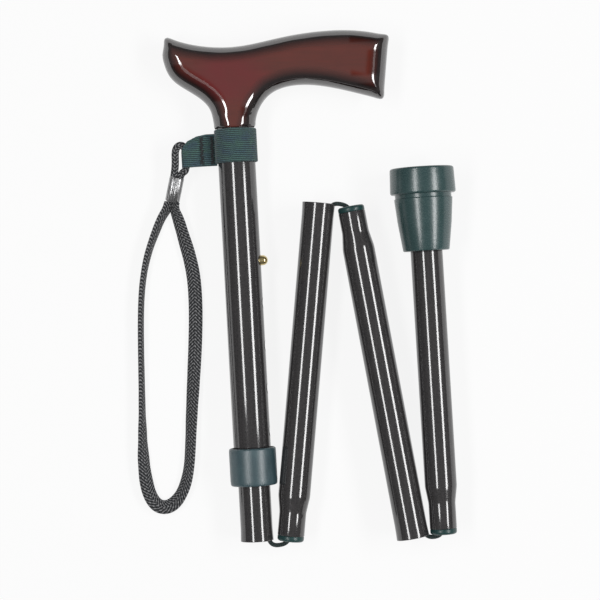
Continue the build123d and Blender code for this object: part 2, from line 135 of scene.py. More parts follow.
class Reading:
    """A socket's value, with arithmetic that adds the nodes it needs."""

    def __init__(self, graph: "Graph", socket: bpy.types.NodeSocket) -> None:
        """Keeps the graph and the socket."""
        self.graph = graph
        self.socket = socket

    def maths(self, operation: str, *others: "Reading | Number") -> "Reading":
        """The result of a Math node on this value.

        Args:
            operation: The node's operation.
            others: Its second and third values.

        Returns:
            The node's result.
        """
        made = self.graph.node("ShaderNodeMath", {"operation": operation}, [self, *others])
        return Reading(self.graph, made.outputs[0])

    def __add__(self, other: "Reading | Number") -> "Reading":
        """Sum."""
        return self.maths("ADD", other)

    __radd__ = __add__

    def __sub__(self, other: "Reading | Number") -> "Reading":
        """Difference."""
        return self.maths("SUBTRACT", other)

    def __rsub__(self, other: Number) -> "Reading":
        """A number less this value."""
        return self.maths("MULTIPLY", -1.0).maths("ADD", other)

    def __mul__(self, other: "Reading | Number") -> "Reading":
        """Product."""
        return self.maths("MULTIPLY", other)

    __rmul__ = __mul__

    def __truediv__(self, other: "Reading | Number") -> "Reading":
        """Quotient."""
        return self.maths("DIVIDE", other)

    def wave(self) -> "Reading":
        """The sine of this value, from 0 to 1."""
        return self.maths("SINE") * 0.5 + 0.5

    def clamped(self) -> "Reading":
        """This value held between 0 and 1."""
        return self.maths("MAXIMUM", 0.0).maths("MINIMUM", 1.0)


Colour = tuple[float, float, float]


class Graph:
    """A material in the making, with one way to add any node."""

    def __init__(self, name: str) -> None:
        """Makes the material with its Principled shader.

        Args:
            name: The material's name.
        """
        self.material = bpy.data.materials.new(name)
        self.material.use_nodes = True
        self.tree = self.material.node_tree
        self.shader = self.tree.nodes["Principled BSDF"]

    def node(
        self,
        kind: str,
        settings: dict[str, object] | None = None,
        inputs: Sequence[object] | dict[str, object] = (),
    ) -> bpy.types.Node:
        """Adds a node.

        Args:
            kind: Its type.
            settings: Its own settings, which are set first.
            inputs: Values or readings for its sockets, by order or by name.

        Returns:
            The node.
        """
        made = self.tree.nodes.new(kind)
        for name, value in (settings or {}).items():
            if name == "stops":
                self._stops(made.color_ramp, value)
            else:
                setattr(made, name, value)
        pairs = inputs.items() if isinstance(inputs, dict) else enumerate(inputs)
        for key, value in pairs:
            self.feed(made.inputs[key], value)
        return made

    @staticmethod
    def _stops(ramp: bpy.types.ColorRamp, stops: Sequence[tuple[float, Colour]]) -> None:
        """Gives a ramp its stops."""
        while len(ramp.elements) < len(stops):
            ramp.elements.new(1.0)
        for element, (place, colour) in zip(ramp.elements, stops):
            element.position = place
            element.color = (*colour, 1.0)

    def feed(self, socket: bpy.types.NodeSocket, value: object) -> None:
        """Links a reading to a socket, or sets the socket's own value."""
        if isinstance(value, Reading):
            self.tree.links.new(value.socket, socket)
        elif isinstance(value, bpy.types.NodeSocket):
            self.tree.links.new(value, socket)
        elif isinstance(value, tuple) and len(value) == 3 and socket.type == "RGBA":
            socket.default_value = (*value, 1.0)
        else:
            socket.default_value = value

    def place(self) -> bpy.types.NodeSocket:
        """The surface's own place, in metres."""
        return self.node("ShaderNodeTexCoord").outputs["Object"]

    def attribute(self, name: str) -> tuple[Reading, Reading, Reading]:
        """The three numbers of a mesh attribute."""
        source = self.node("ShaderNodeAttribute", {"attribute_name": name})
        split = self.node("ShaderNodeSeparateXYZ", None, [source.outputs["Vector"]])
        return tuple(Reading(self, socket) for socket in split.outputs)

    def along(self, direction: Vector, origin: Vector) -> Reading:
        """How far the surface lies along a direction from an origin, in millimetres."""
        moved = self.node(
            "ShaderNodeVectorMath", {"operation": "SUBTRACT"}, [self.place(), tuple(origin)]
        )
        dot = self.node(
            "ShaderNodeVectorMath",
            {"operation": "DOT_PRODUCT"},
            [moved.outputs[0], tuple(direction / MM)],
        )
        return Reading(self, dot.outputs["Value"])

    def noise(self, scale: Triple, detail: float = 3.0, roughness: float = 0.55) -> Reading:
        """Noise whose grains are so many millimetres long in each axis.

        Args:
            scale: The grain's length in X, Y and Z.
            detail: Its octaves.
            roughness: The strength of the finer octaves.

        Returns:
            The noise, around a half.
        """
        mapping = self.node(
            "ShaderNodeMapping",
            None,
            {"Vector": self.place(), "Scale": tuple(1.0 / (MM * size) for size in scale)},
        )
        made = self.node(
            "ShaderNodeTexNoise",
            None,
            {
                "Vector": mapping.outputs[0],
                "Scale": 1.0,
                "Detail": detail,
                "Roughness": roughness,
            },
        )
        return Reading(self, made.outputs[0])

    def ramp(self, value: Reading, stops: Sequence[tuple[float, Colour]]) -> bpy.types.NodeSocket:
        """A colour for each value, between stops."""
        return self.node("ShaderNodeValToRGB", {"stops": stops}, [value]).outputs[0]

    def mix(self, factor: Reading, first: object, second: object) -> bpy.types.NodeSocket:
        """A colour between two, by a factor."""
        made = self.node("ShaderNodeMix", {"data_type": "RGBA"})
        self.feed(made.inputs["Factor"], factor)
        self.feed(made.inputs["A"] if made.inputs["A"].type == "RGBA" else made.inputs[6], first)
        self.feed(made.inputs["B"] if made.inputs["B"].type == "RGBA" else made.inputs[7], second)
        return next(socket for socket in made.outputs if socket.type == "RGBA")

    def bump(self, height: Reading, depth: float, strength: float = 1.0) -> None:
        """Roughens the surface by a height, in millimetres."""
        made = self.node(
            "ShaderNodeBump",
            None,
            {"Strength": strength, "Distance": depth * MM, "Height": height},
        )
        self.tree.links.new(made.outputs[0], self.shader.inputs["Normal"])

    def set(self, **values: object) -> "Graph":
        """Sets or links the Principled shader's sockets, named with _ for a space."""
        for name, value in values.items():
            self.feed(self.shader.inputs[name.replace("_", " ")], value)
        return self


# Finishes


@dataclass(frozen=True)
class Lacquer:
    """Clear lacquer over dark red-brown stained wood, with painted shade that darkens it towards the edges."""

    light: Colour = (0.142, 0.019, 0.010)
    dark: Colour = (0.088, 0.016, 0.009)
    red: Colour = (0.145, 0.009, 0.010)
    # Near-black colour of the painted shade on the rounded edges.
    edge: Colour = (0.012, 0.006, 0.006)
    grain: Triple = (34.0, 3.2, 5.0)
    # Depths in from the outline, in mm, across which the painted edge shade fades into the face.
    painted_edge_shade_depths: Pair = (4.6, 10.5)

    def build(self) -> bpy.types.Material:
        """Makes the material, which reads the carving that the handle's mesh carries."""
        graph = Graph("lacquered_wood")
        depth, shine, warmth = graph.attribute("carving")
        grain = graph.noise(self.grain, 5.0, 0.62)
        blotch = graph.noise((16.0, 12.0, 14.0), 2.0, 0.5)
        tone = (grain * 1.5 + blotch * 0.8 - 0.65).clamped()
        face = graph.mix(tone, self.dark, self.light)
        face = graph.mix(warmth * (blotch * 0.8 + 0.5), face, self.red)
        # Painted shade: the base colour darkens towards the edge colour near the outline.
        low, high = self.painted_edge_shade_depths
        rim = ((high - depth + blotch * 2.0 - 1.0) / (high - low)).clamped()
        graph.set(
            Base_Color=graph.mix(rim, face, self.edge),
            Roughness=0.5,
            Specular_IOR_Level=0.1,
            Coat_Weight=shine,
            Coat_Roughness=0.04,
            Coat_IOR=2.1,
        )
        graph.bump(graph.noise((7.0, 6.0, 7.0), 1.0, 0.4), 0.07, 0.5)
        return graph.material


@dataclass(frozen=True)
class GlossBlack:
    """Gloss black paint on tube, very slightly streaked along its length."""

    paint: Colour = (0.020, 0.019, 0.020)
    thin: Colour = (0.058, 0.054, 0.055)
    roughness: float = 0.12

    def build(self) -> bpy.types.Material:
        """Makes the material."""
        graph = Graph("gloss_black_paint")
        streak = graph.noise((1.1, 60.0, 1.1), 3.0, 0.6)
        speck = graph.noise((0.9, 0.9, 0.9), 2.0, 0.5)
        tone = (streak * 1.0 + speck * 1.4 - 0.75).clamped()
        graph.set(
            Base_Color=graph.mix(tone, self.paint, self.thin),
            Roughness=(streak * 0.03 + speck * 0.02 + self.roughness - 0.025),
            IOR=1.8,
        )
        return graph.material


@dataclass(frozen=True)
class Moulded:
    """Moulded plastic or rubber with a fine grain."""

    name: str
    body: Colour
    worn: Colour
    roughness: float
    grain: float = 0.5
    depth: float = 0.03
    sparkle: float = 0.0
    specular: float = 0.5

    def build(self) -> bpy.types.Material:
        """Makes the material."""
        graph = Graph(self.name)
        fine = graph.noise((self.grain,) * 3, 2.0, 0.6)
        cloud = graph.noise((9.0, 11.0, 9.0), 3.0, 0.55)
        tone = (cloud * 1.1 + fine * self.sparkle - 0.1 - self.sparkle * 0.5).clamped()
        graph.set(
            Base_Color=graph.mix(tone, self.body, self.worn),
            Roughness=(fine * 0.12 + self.roughness - 0.06),
            Specular_IOR_Level=self.specular,
        )
        graph.bump(fine, self.depth, 0.6)
        return graph.material


@dataclass(frozen=True)
class Metal:
    """Bare metal with fine wear marks."""

    name: str
    bright: Colour
    dull: Colour
    roughness: float
    marks: Triple = (0.5, 4.0, 0.5)

    def build(self) -> bpy.types.Material:
        """Makes the material."""
        graph = Graph(self.name)
        marks = graph.noise(self.marks, 4.0, 0.65)
        stain = graph.noise((3.0, 3.0, 3.0), 2.0, 0.5)
        tone = (marks * 0.8 + stain * 0.8 - 0.3).clamped()
        graph.set(
            Base_Color=graph.mix(tone, self.bright, self.dull),
            Metallic=1.0,
            Roughness=(marks * 0.18 + self.roughness - 0.06),
        )
        graph.bump(marks, 0.01, 0.4)
        return graph.material


@dataclass(frozen=True)
class Webbing:
    """Ribbed elastic webbing, its ribs running round the tube, with painted shade between the ribs."""

    name: str
    # Dark colour of the painted shade in the low parts between the ribs.
    painted_valley_shade: Colour = (0.007, 0.018, 0.018)
    rib: Colour = (0.098, 0.215, 0.182)
    blue: Colour = (0.070, 0.125, 0.200)
    pitch: float = 1.15
    stitch: float = 0.75

    def build(self, bundle: Bundle) -> bpy.types.Material:
        """Makes the material.

        Args:
            bundle: Gives the direction that the ribs are counted along.

        Returns:
            The material.
        """
        graph = Graph(self.name)
        across, along, _ = bundle.axes()
        origin = bundle.point(0.0, 226.0)
        ribs = (graph.along(along, origin) * (2 * math.pi / self.pitch)).wave()
        knit = (graph.along(across, origin) * (2 * math.pi / self.stitch)).wave()
        fuzz = graph.noise((0.35, 0.35, 0.35), 2.0, 0.7)
        height = ribs * 0.75 + knit * ribs * 0.25
        # Painted shade: the lower the knit, the nearer its colour comes to the valley shade colour.
        tone = (height * 0.8 + fuzz * 0.6 - 0.25).clamped()
        patch = (graph.noise((5.0, 4.0, 5.0), 2.0, 0.6) * 2.4 - 0.8).clamped()
        thread = graph.mix(patch, self.rib, self.blue)
        graph.set(
            Base_Color=graph.mix(tone, self.painted_valley_shade, thread),
            Roughness=0.85,
            Sheen_Weight=0.25,
            Sheen_Roughness=0.5,
        )
        graph.bump(height + fuzz * 0.3, 0.28, 0.9)
        return graph.material


@dataclass(frozen=True)
class Braid:
    """Plaited cord: chevrons that follow the cord, on the attribute the cord's mesh carries, with painted shade
    in the hollows and a painted highlight on the crests.
    """

    name: str
    # Dark colour of the painted shade in the hollows between the strands.
    painted_valley_shade: Colour
    strand: Colour
    # Pale colour of the painted highlight on the highest crests.
    painted_crest_highlight: Colour
    pitch: float
    columns: float
    slope: float = 1.0
    sheen: float = 0.2

    def build(self) -> bpy.types.Material:
        """Makes the material."""
        graph = Graph(self.name)
        across, along, side = graph.attribute("braid")
        lean = across.maths("ABSOLUTE") * self.slope
        pick = ((along + lean) * (2 * math.pi / self.pitch)).wave()
        column = (across * (2 * math.pi / self.columns)).wave()
        counter = ((along - lean * 1.2) * (2 * math.pi / (self.pitch * 1.7))).wave()
        fuzz = graph.noise((0.4, 0.4, 0.4), 2.0, 0.7)
        height = (pick * 0.62 + column * 0.18 + counter * 0.2).clamped()
        # Painted highlight: the highest crests take the pale highlight colour.
        light = (height * 1.9 + fuzz * 0.5 - 1.25).clamped()
        # Painted shade: the low parts of the plait darken towards the hollow shade colour.
        dark = graph.mix((height * 1.3 - 0.15).clamped(), self.painted_valley_shade, self.strand)
        graph.set(
            Base_Color=graph.mix(light, dark, self.painted_crest_highlight),
            Roughness=0.8,
            Sheen_Weight=self.sheen,
            Sheen_Roughness=0.45,
        )
        graph.bump(height + fuzz * 0.15 + side * 0.0, 0.45, 0.9)
        return graph.material


@dataclass
class Paintbox:
    """Every finish of the cane, made once."""

    bundle: Bundle
    made: dict[str, bpy.types.Material] = field(default_factory=dict)

    def __post_init__(self) -> None:
        """Makes the materials, each under its record's slot name."""
        teal = ((0.009, 0.036, 0.036), (0.022, 0.070, 0.068))
        self.made = {
            "lacquered_wood": Lacquer().build(),
            "black_tube": GlossBlack().build(),
            "brass": Metal("polished_brass", (0.80, 0.67, 0.36), (0.52, 0.41, 0.19), 0.22).build(),
            "collar_plastic": Moulded(
                "collar_plastic", (0.018, 0.048, 0.060), (0.058, 0.112, 0.128), 0.40,
                grain=0.8, depth=0.06, sparkle=1.3, specular=1.0,
            ).build(),
            "plug_plastic": Moulded("plug_plastic", *teal, 0.34, grain=0.6, depth=0.02).build(),
            # Braid colours: painted shade in the hollows, the strand, then the painted highlight on the crests.
            "elastic_cord": Braid(
                "elastic_cord", (0.004, 0.009, 0.010), (0.016, 0.034, 0.034),
                (0.05, 0.085, 0.08), pitch=1.3, columns=0.9,
            ).build(),
            "tip_rubber": Moulded(
                "tip_rubber", (0.018, 0.052, 0.052), (0.044, 0.088, 0.090), 0.27,
                grain=0.8, depth=0.03, sparkle=0.3, specular=0.8,
            ).build(),
            "band_fabric": Webbing("ribbed_webbing").build(self.bundle),
            # The same three braid colours: painted hollow shade, strand, painted crest highlight.
            "wrist_braid": Braid(
                "wrist_braid", (0.006, 0.007, 0.009), (0.036, 0.038, 0.043),
                (0.34, 0.34, 0.345), pitch=2.1, columns=1.9,
            ).build(),
            "bright_crimp": Metal(
                "bright_crimp", (0.50, 0.50, 0.50), (0.20, 0.20, 0.21), 0.3
            ).build(),
            "spring_steel": Metal(
                "spring_steel", (0.56, 0.57, 0.58), (0.30, 0.30, 0.32), 0.3
            ).build(),
            "bush_plastic": Moulded(
                "bush_plastic", (0.66, 0.65, 0.61), (0.78, 0.77, 0.74), 0.4, grain=0.7
            ).build(),
        }

    def __getitem__(self, slot: str) -> bpy.types.Material:
        """The finish of one slot."""
        return self.made[slot]


# Making pieces


def ramped(share: float, soft: float = 0.2) -> float:
    """A straight rise from 0 to 1 whose two ends are rounded over a share of its length."""
    slope = 1.0 / (1.0 - soft)
    if share < soft:
        return slope * share * share / (2.0 * soft)
    if share > 1.0 - soft:
        return 1.0 - slope * (1.0 - share) ** 2 / (2.0 * soft)
    return slope * (share - soft / 2.0)


def eased(value: float, low: float, high: float) -> float:
    """A smooth rise from 0 at a low value to 1 at a high one."""
    share = min(max((value - low) / (high - low), 0.0), 1.0)
    return share * share * (3.0 - 2.0 * share)


def turned(profile: Sequence[Pair], steps: int = 96) -> bmesh.types.BMesh:
    """Spins a profile about the Y axis.

    Args:
        profile: Its points, each a distance from the axis and a place along it.
        steps: Faces round the piece.

    Returns:
        The closed mesh, its normals outward.
    """
    bm = bmesh.new()
    verts = [bm.verts.new((radius, along, 0.0)) for radius, along in profile]
    edges = [bm.edges.new(pair) for pair in zip(verts, verts[1:])]
    if profile[0][0] > 0 and profile[-1][0] > 0:
        edges.append(bm.edges.new((verts[-1], verts[0])))
    bmesh.ops.spin(
        bm,
        geom=verts + edges,
        cent=(0.0, 0.0, 0.0),
        axis=(0.0, 1.0, 0.0),
        angle=2 * math.pi,
        steps=steps,
        use_merge=True,
    )
    bmesh.ops.remove_doubles(bm, verts=bm.verts, dist=1e-5)
    bmesh.ops.recalc_face_normals(bm, faces=bm.faces)
    return bm


def soften(
    bm: bmesh.types.BMesh,
    radius: float,
    segments: int = 3,
    wanted: Callable[[bmesh.types.BMEdge], bool] | None = None,
    sharper_than: float = 30.0,
) -> bmesh.types.BMesh:
    """Rounds the sharp edges of a mesh.

    Args:
        bm: The mesh.
        radius: How far the rounding reaches from each edge, in the mesh's own units.
        segments: Faces across the rounding.
        wanted: Says which of the sharp edges are rounded.
        sharper_than: The angle, in degrees, from which an edge is sharp.

    Returns:
        The same mesh.
    """
    limit = math.radians(sharper_than)
    sharp = [
        edge
        for edge in bm.edges
        if edge.is_manifold and edge.calc_face_angle(0.0) > limit and (not wanted or wanted(edge))
    ]
    bmesh.ops.bevel(
        bm,
        geom=sharp,
        offset=radius,
        offset_type="OFFSET",
        segments=segments,
        profile=0.5,
        affect="EDGES",
        material=-1,
        clamp_overlap=True,
    )
    return bm


@dataclass
class Workshop:
    """Turns meshes into pieces of the cane and dresses them."""

    bundle: Bundle
    paints: Paintbox
    nodes: dict[str, bpy.types.Object]

    def piece(
        self,
        name: str,
        bm: bmesh.types.BMesh,
        body: str,
        slot: str,
        replaces: Sequence[str] = (),
        matrix: Matrix | None = None,
        crease: float = 35.0,
    ) -> bpy.types.Object:
        """Makes an object from a mesh and ties it to the frame.

        Args:
            name: The piece's name.
            bm: Its mesh, which is freed.
            body: The body that it rides on.
            slot: The slot that it takes its finish from.
            replaces: The nodes that it stands for.
            matrix: Puts the mesh in its place.
            crease: The angle from which an edge shades sharp.

        Returns:
            The object.
        """
        if matrix is not None:
            bm.transform(matrix)
        mesh = bpy.data.meshes.new(name)
        bm.to_mesh(mesh)
        bm.free()
        mesh.polygons.foreach_set("use_smooth", [True] * len(mesh.polygons))
        mesh.set_sharp_from_angle(angle=math.radians(crease))
        made = bpy.data.objects.new(name, mesh)
        bpy.context.scene.collection.objects.link(made)
        self.dress(made, body, slot, replaces)
        return made

    def dress(
        self, made: bpy.types.Object, body: str, slot: str, replaces: Sequence[str] = ()
    ) -> None:
        """Gives an object its finish, its body and the nodes that it stands for."""
        made.data.materials.clear()
        made.data.materials.append(self.paints[slot])
        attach(made, body)
        if replaces:
            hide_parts(*replaces)
        log.info("%s: %d faces on %s", made.name, len(getattr(made.data, "polygons", ())), body)

    def finished(self, made: bpy.types.Object) -> None:
        """Applies an object's modifiers to its mesh."""
        graph = bpy.context.evaluated_depsgraph_get()
        graph.update()
        baked = bpy.data.meshes.new_from_object(made.evaluated_get(graph))
        made.modifiers.clear()
        made.data = baked

    def paint_node(self, name: str, slot: str) -> None:
        """Gives a node that keeps its own shape the finish of its slot."""
        for place in self.nodes[name].material_slots:
            place.material = self.paints[slot]
        log.info("%s keeps its shape", name)


# Sub-assemblies


@dataclass
class Handle:
    """The derby handle, carved smooth."""

    shop: Workshop
    voxel: float = 0.85
    strokes: int = 6
    half: float = 12.2
    first_edge: float = 7.0
    edge: float = 11.5
    neck: Pair = (4.0, 11.0)
    socket: Pair = (11.6, 24.8)
    worn: tuple[tuple[float, float, float, float], ...] = (
        (-50.0, -18.0, 16.0, 40.0),
        (-24.0, 2.0, 15.0, 36.0),
        (70.0, 110.0, 25.4, 42.0),
        (70.0, 110.0, 45.0, 70.0),
        (70.0, 110.0, -5.0, 22.6),
        (4.0, 24.0, 5.0, 13.0),
    )
    corners: tuple[tuple[float, float, float, float], ...] = (
        (-37.6, 56.0, -1.5, 1.3),
        (93.4, 48.9, 0.8, 1.0),
        (88.6, 12.6, 0.7, -1.0),
    )
    corner_reach: float = 7.0

    def _fence(self, made: bpy.types.Object) -> BVHTree:
        """The handle's outline as a low wall on its middle plane."""
        bundle = self.shop.bundle
        normal = bundle.axes()[2]
        bm = bmesh.new()
        bm.from_mesh(made.data)
        cut = bmesh.ops.bisect_plane(
            bm,
            geom=bm.verts[:] + bm.edges[:] + bm.faces[:],
            plane_co=bundle.point(0.0, 0.0),
            plane_no=normal,
        )["geom_cut"]
        line = {item for item in cut if isinstance(item, bmesh.types.BMEdge)}
        inside = [edge for edge in line if all(self._in_socket(vert.co) for vert in edge.verts)]
        line -= set(inside)
        bmesh.ops.delete(bm, geom=bm.faces[:], context="FACES_ONLY")
        bmesh.ops.delete(
            bm, geom=[edge for edge in bm.edges if edge not in line], context="EDGES"
        )
        grown = bmesh.ops.extrude_edge_only(bm, edges=bm.edges[:])["geom"]
        raised = [item for item in grown if isinstance(item, bmesh.types.BMVert)]
        bmesh.ops.translate(bm, verts=raised, vec=normal * MM)
        fence = BVHTree.FromBMesh(bm)
        bm.free()
        return fence

    def _in_socket(self, place: Vector) -> bool:
        """Whether a place is on the wall of the socket that takes the tube."""
        u, w, height = self._seen_flat(place)
        return math.hypot(u, height) < self.socket[0] and w < self.socket[1]

    def _seen_flat(self, place: Vector) -> Triple:
        """A place's u, its height above the neck's foot, and its height off the middle plane."""
        across, along, normal = self.shop.bundle.axes()
        offset = (place - self.shop.bundle.point(*Place.NECK.value[:2])) / MM
        return offset.dot(across), offset.dot(along), offset.dot(normal)

    def _profile(self, depth: float, radius: float) -> float:
        """Half the handle's thickness at a distance in from its outline."""
        inward = max(radius - depth, 0.0)
        return self.half - radius + math.sqrt(max(radius * radius - inward * inward, 0.0))

    def _shine(self, u: float, w: float, depth: float) -> float:
        """How thick the lacquer's gloss is, which wears thin along the rolled edges.

        Args:
            u: Millimetres to the right of the neck's axis.
            w: Millimetres above the neck's foot.
            depth: Millimetres in from the outline.

        Returns:
            The gloss, from 0 to 1.
        """
        worn = 0.0
        for left, right, low, high in self.worn:
            inside = eased(u, left, left + 2.0) * (1.0 - eased(u, right - 2.0, right))
            inside *= eased(w, low, low + 2.0) * (1.0 - eased(w, high - 2.0, high))
            worn = max(worn, inside)
        return 1.0 - 0.95 * worn * eased(depth, 3.6, 5.2) * (1.0 - eased(depth, 9.8, 12.8))

    def _drawn_out(self, u: float, w: float) -> Vector:
        """How far the outline's corners are drawn to a point at a place."""
        across, along, _ = self.shop.bundle.axes()
        moved = Vector((0.0, 0.0, 0.0))
        for corner_u, corner_w, right, up in self.corners:
            near = max(0.0, 1.0 - math.hypot(u - corner_u, w - corner_w) / self.corner_reach)
            moved += (across * right + along * up) * (near * near * MM)
        return moved

    def _warmth(self, u: float, w: float) -> float:
        """How far the stain turns red, most of all above the neck."""
        away = math.hypot((u + 2.0) / 26.0, (w - 30.0) / 17.0)
        return 1.0 - eased(away, 0.3, 1.3)

    def _rolled(self, made: bpy.types.Object) -> None:
        """Rolls the long edges over to a fuller round, which dies out at the neck's foot."""
        fence = self._fence(made)
        normal = self.shop.bundle.axes()[2]
        bm = bmesh.new()
        bm.from_mesh(made.data)
        carving = bm.verts.layers.float_vector.new("carving")
        moved = []
        for vert in bm.verts:
            if self._in_socket(vert.co):
                vert[carving] = Vector((0.0, 1.0, 0.0))
                continue
            u, w, height = self._seen_flat(vert.co)
            flat = vert.co - normal * (height * MM)
            depth = fence.find_nearest(flat)[3] / MM
            scale = self._profile(depth, self.edge) / self._profile(depth, self.first_edge)
            scale = 1.0 + (scale - 1.0) * eased(w, *self.neck)
            vert.co = flat + self._drawn_out(u, w) + normal * (height * scale * MM)
            vert[carving] = Vector((depth, self._shine(u, w, depth), self._warmth(u, w)))
            moved.append(vert)
        for _ in range(self.strokes):
            bmesh.ops.smooth_vert(
                bm, verts=moved, factor=0.5, use_axis_x=True, use_axis_y=True, use_axis_z=True
            )
        bm.to_mesh(made.data)
        bm.free()

    def build(self) -> None:
        """Makes the handle from the solid's own form, its edges rubbed down."""
        bm = bmesh.new()
        bm.from_mesh(self.shop.nodes["handle"].data)
        bmesh.ops.remove_doubles(bm, verts=bm.verts, dist=1e-6)
        made = self.shop.piece("handle_wood", bm, "top", "lacquered_wood", ["handle"])
        remesh = made.modifiers.new("carve", "REMESH")
        remesh.mode = "VOXEL"
        remesh.voxel_size = self.voxel * MM
        smooth = made.modifiers.new("rub", "SMOOTH")
        smooth.factor = 0.5
        smooth.iterations = self.strokes
        self.shop.finished(made)
        self._rolled(made)
        made.data.polygons.foreach_set("use_smooth", [True] * len(made.data.polygons))
        made.data.materials.clear()
        made.data.materials.append(self.shop.paints["lacquered_wood"])


@dataclass
class TopTube:
    """The upper tube with its adjustment holes, and the snap button in the top one."""

    shop: Workshop
    outer: float = 11.1
    bore: float = 9.85
    foot: float = 42.5
    top: float = 270.5
    hole: float = 3.3
    button_height: float = 167.6
    pitch: float = 25.4
    holes: int = 5
    button: float = 3.0
    stand_out: float = 1.2

    def build(self) -> None:
        """Makes the tube and the button."""
        profile = [
            (self.bore, self.foot),
            (self.outer, self.foot),
            (self.outer, self.top),
            (self.bore, self.top),
        ]
        bm = soften(turned(profile, 128), 0.25, 2)
        place = Place.TOP.matrix(self.shop.bundle)
        tube = self.shop.piece("upper_tube_wall", bm, "top", "black_tube", ["upper_tube"], place)
        cutter = self._cutter()
        cut = tube.modifiers.new("holes", "BOOLEAN")
        cut.object = cutter
        cut.solver = "EXACT"
        self.shop.finished(tube)
        bpy.data.objects.remove(cutter)
        tube.data.set_sharp_from_angle(angle=math.radians(30))
        self._button()

    def _side(self, v: float) -> Matrix:
        """The matrix that turns a piece's Y axis out of the tube's right side."""
        return Place.TOP.matrix(self.shop.bundle) @ Matrix.Translation((0.0, v, 0.0)) @ Matrix.Rotation(
            -math.pi / 2, 4, "Z"
        )

    def _cutter(self) -> bpy.types.Object:
        """The pins that cut the adjustment holes."""
        bm = bmesh.new()
        for step in range(self.holes):
            matrix = self._side(self.button_height - step * self.pitch)
            turn = Matrix.Rotation(math.pi / 2, 4, "X")
            bmesh.ops.create_cone(
                bm,
                cap_ends=True,
                segments=40,
                radius1=self.hole,
                radius2=self.hole,
                depth=8.0,
                matrix=matrix @ Matrix.Translation((0.0, self.outer, 0.0)) @ turn,
            )
        mesh = bpy.data.meshes.new("hole_pins")
        bm.to_mesh(mesh)
        bm.free()
        made = bpy.data.objects.new("hole_pins", mesh)
        bpy.context.scene.collection.objects.link(made)
        return made

    def _button(self) -> None:
        """The brass button: a pin with a domed head."""
        centre = self.outer + self.stand_out
        dome = [
            (self.button * math.cos(angle), centre + self.button * math.sin(angle))
            for angle in (math.radians(step * 7.5) for step in range(12))
        ]
        profile = [(0.0, 7.75), (self.button, 7.75), *dome, (0.0, centre + self.button)]
        bm = turned(profile, 48)
        self.shop.piece(
            "brass_button", bm, "button", "brass", ["snap_button"], self._side(self.button_height)
        )


@dataclass
class LowerTube:
    """A swaged lower section of the tube."""

    shop: Workshop
    name: str
    node: str
    body: str
    place: Place
    length: float
    flared: bool
    spigot: bool
    radius: float = 9.5
    wall: float = 1.25
    spigot_radius: float = 8.0
    rim: float = 3.4
    inset: float = 0.0
    mouth_inset: float = 0.0
    shoulder: Pair = (18.5, 28.5)
    mouth: Pair = (8.0, 0.3)

    def _outline(self) -> list[Pair]:
        """The outside of the tube, from its start to its end."""
        points: list[Pair] = []
        if self.spigot:
            low, high = self.shoulder
            points.append((self.spigot_radius, self.rim + self.inset))
            for step in range(13):
                share = step / 12
                radius = self.spigot_radius + (self.radius - self.spigot_radius) * ramped(share)
                points.append((radius, low - 1.0 + (high - low + 2.0) * share))
        else:
            points.append((self.radius, 0.0))
        if self.flared:
            start = self.length - self.mouth_inset - self.mouth[0] - 1.5
            for step in range(9):
                share = step / 8
                points.append(
                    (self.radius + self.mouth[1] * share**2, start + (self.mouth[0] + 1.5) * share)
                )
        else:
            points.append((self.radius, self.length))
        return points

    def build(self) -> None:
        """Makes the tube."""
        outside = self._outline()
        inside = [(radius - self.wall, along) for radius, along in reversed(outside)]
        bm = soften(turned(outside + inside, 128), 0.28, 3, sharper_than=60)
        matrix = self.place.matrix(self.shop.bundle)
        if self.place is Place.TOP:
            matrix = matrix @ Matrix.Translation((0.0, self.length, 0.0)) @ Matrix.Rotation(
                math.pi, 4, "Z"
            )
        self.shop.piece(self.name, bm, self.body, "black_tube", [self.node], matrix)


@dataclass
class Plug:
    """The moulded plug in a spigot's end."""

    shop: Workshop
    number: int
    place: Place
    rim: float = 7.9
    body: float = 6.72
    hole: float = 1.8
    funnel: float = 4.7
    rim_length: float = 3.4
    rim_round: float = 1.5

    def _edge(self) -> list[Pair]:
        """The rim's rounded edge."""
        centre = self.rim - self.rim_round
        return [
            (centre + self.rim_round * math.sin(angle), self.rim_round * (1 - math.cos(angle)))
            for angle in (math.radians(step * 15) for step in range(7))
        ]

    def build(self) -> None:
        """Makes the plug."""
        funnel = [
            (self.hole + (self.funnel - self.hole) * (1 - math.sin(angle)), 3.0 * (1 - math.cos(angle)))
            for angle in (math.radians(90 - step * 15) for step in range(7))
        ]
        profile = [
            *funnel,
            *self._edge(),
            (self.rim, self.rim_length - 0.5),
            (self.rim - 0.25, self.rim_length - 0.05),
            (self.body, self.rim_length),
            (self.body, self.rim_length + 12.0),
            (self.hole, self.rim_length + 12.0),
        ]
        bm = turned(profile, 80)
        self.shop.piece(
            f"plug_{self.number}",
            bm,
            f"section_{self.number}",
            "plug_plastic",
            [f"spigot_plug_{self.number}"],
            self.place.matrix(self.shop.bundle)
            @ Matrix.Translation((0.0, PLUG_INSETS[self.number], 0.0)),
        )


@dataclass
class LockCollar:
    """The ring nut at the upper tube's foot."""

    shop: Workshop
    radius: float = 14.0
    foot: float = 34.3
    height: float = 22.3
    lip: float = 3.2
    bore: float = 12.7
    throat: float = 9.8

    def build(self) -> None:
        """Makes the collar with its rolled edges."""
        top = self.foot + self.height
        profile = [
            (self.throat, self.foot),
            (self.radius - 0.25, self.foot),
            (self.radius, self.foot + 3.0),
            (self.radius, top - 2.5),
            (self.radius - 0.1, top),
            (self.bore, top),
            (self.bore, self.foot + self.lip),
            (self.throat, self.foot + self.lip),
        ]
        bm = soften(turned(profile, 128), 1.1, 5, lambda edge: self._outside(edge), 40)
        self.shop.piece(
            "collar_ring", bm, "collar", "collar_plastic", ["lock_collar"],
            Place.TOP.matrix(self.shop.bundle),
        )

    def _outside(self, edge: bmesh.types.BMEdge) -> bool:
        """Whether an edge is on the collar's outer rim."""
        return all(math.hypot(vert.co.x, vert.co.z) > self.bore + 0.6 for vert in edge.verts)


